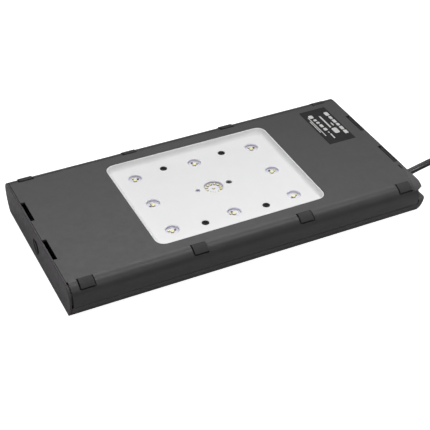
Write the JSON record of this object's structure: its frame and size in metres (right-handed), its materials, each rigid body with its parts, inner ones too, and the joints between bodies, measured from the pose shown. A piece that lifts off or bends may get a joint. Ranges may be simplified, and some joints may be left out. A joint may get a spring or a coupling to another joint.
{
  "type": "led aquarium light",
  "caption": "Flat rectangular LED aquarium light with rolled long edges, a recessed white reflector panel with lens windows, vented ends, a cooling fan and a low-voltage cord.",
  "frame": {"origin": "bottom centre of the housing's bounding box, without the cord; the light lies on its back", "axes": "+Z out of the lit face, +X along the length towards the cord end, +Y towards the long edge with the label"},
  "size_m": [0.4857, 0.226, 0.0344],
  "materials": {
    "housing_satin": "satin moulded plastic, fine grain",
    "housing_textured": "spark-eroded texture",
    "panel_white": "semi-gloss white",
    "clear_lens": "clear polycarbonate",
    "led_phosphor": "yellow phosphor",
    "led_colour": "dark blue emitter under silicone",
    "sensor_black": "gloss",
    "screw_black": "black oxide",
    "screw_steel": "zinc plated",
    "insert_brass": "turned",
    "sink_aluminium": "extruded",
    "led_substrate": "white solder mask",
    "thermal_silicone": "matte",
    "gasket_rubber": "matte",
    "fan_plastic": "matte",
    "winding_copper": "enamelled",
    "magnet_ferrite": "matte",
    "circuit_board": "solder mask",
    "inductor_ferrite": "enamelled wire on ferrite",
    "capacitor_can": "bare can",
    "chip_black": "moulded epoxy",
    "terminal_plastic": "moulded",
    "shield_steel": "tinned",
    "button_black": "satin",
    "wire_jacket": "smooth",
    "clamp_plastic": "matte",
    "cord_rubber": "smooth, slightly glossy",
    "tie_fabric": "hook-and-loop strap",
    "plug_rubber": "moulded",
    "plug_metal": "nickel plated",
    "label_black": "printed film"
  },
  "bodies": {
    "housing": {"light_side_cover": "housing_satin", "left_end_cap": "housing_satin", "back_cover": "housing_textured", "right_end_cap": "housing_textured", "cable_entry_cover": "housing_textured", "reflector_panel": "panel_white", "cluster_lenses": "clear_lens", "centre_lens": "clear_lens", "cluster_leds": "led_phosphor", "centre_leds": "led_phosphor", "colour_leds": "led_colour", "light_sensor": "sensor_black", "panel_screws": "screw_black", "heat_sink_screws": "screw_steel", "fan_screws": "screw_steel", "board_screws": "screw_steel", "clamp_screws": "screw_steel", "cover_screws": "screw_steel", "mount_inserts": "insert_brass", "fan_bearing": "insert_brass", "heat_sink": "sink_aluminium", "led_board": "led_substrate", "thermal_pad": "thermal_silicone", "panel_gasket": "gasket_rubber", "fan_frame": "fan_plastic", "fan_guard": "fan_plastic", "fan_stator": "winding_copper", "driver_board": "circuit_board", "control_board": "circuit_board", "button_board": "circuit_board", "driver_inductors": "inductor_ferrite", "driver_capacitors": "capacitor_can", "driver_chips": "chip_black", "control_chips": "chip_black", "button_switch": "chip_black", "cord_terminal": "terminal_plastic", "wireless_shield": "shield_steel", "button_bezel": "button_black", "fan_lead": "wire_jacket", "led_lead": "wire_jacket", "data_lead": "wire_jacket", "button_lead": "wire_jacket", "supply_wires": "wire_jacket", "cable_clamp": "clamp_plastic", "strain_relief": "cord_rubber", "cord_tail": "cord_rubber", "power_cord": "cord_rubber", "power_cord_coil": "cord_rubber", "power_cord_end": "cord_rubber", "cord_tie": "tie_fabric", "plug_body": "plug_rubber", "plug_barrel": "plug_metal", "rating_label": "label_black"},
    "fan": {"fan_rotor": "fan_plastic", "fan_shaft": "screw_steel", "fan_magnet": "magnet_ferrite"},
    "button": {"mode_button": "button_black"}
  },
  "joints": [
    {"name": "fan_spin", "type": "hinge", "parent": "housing", "child": "fan", "pos_m": [-0.0017, 0, 0.006], "axis": [0, 0, 1], "continuous": true},
    {"name": "mode_button_press", "type": "slide", "parent": "housing", "child": "button", "axis": [1, 0, 0], "range_m": [0, 0.0005], "stiffness_N_per_m": 600, "springref_m": -0.0015}
  ]
}
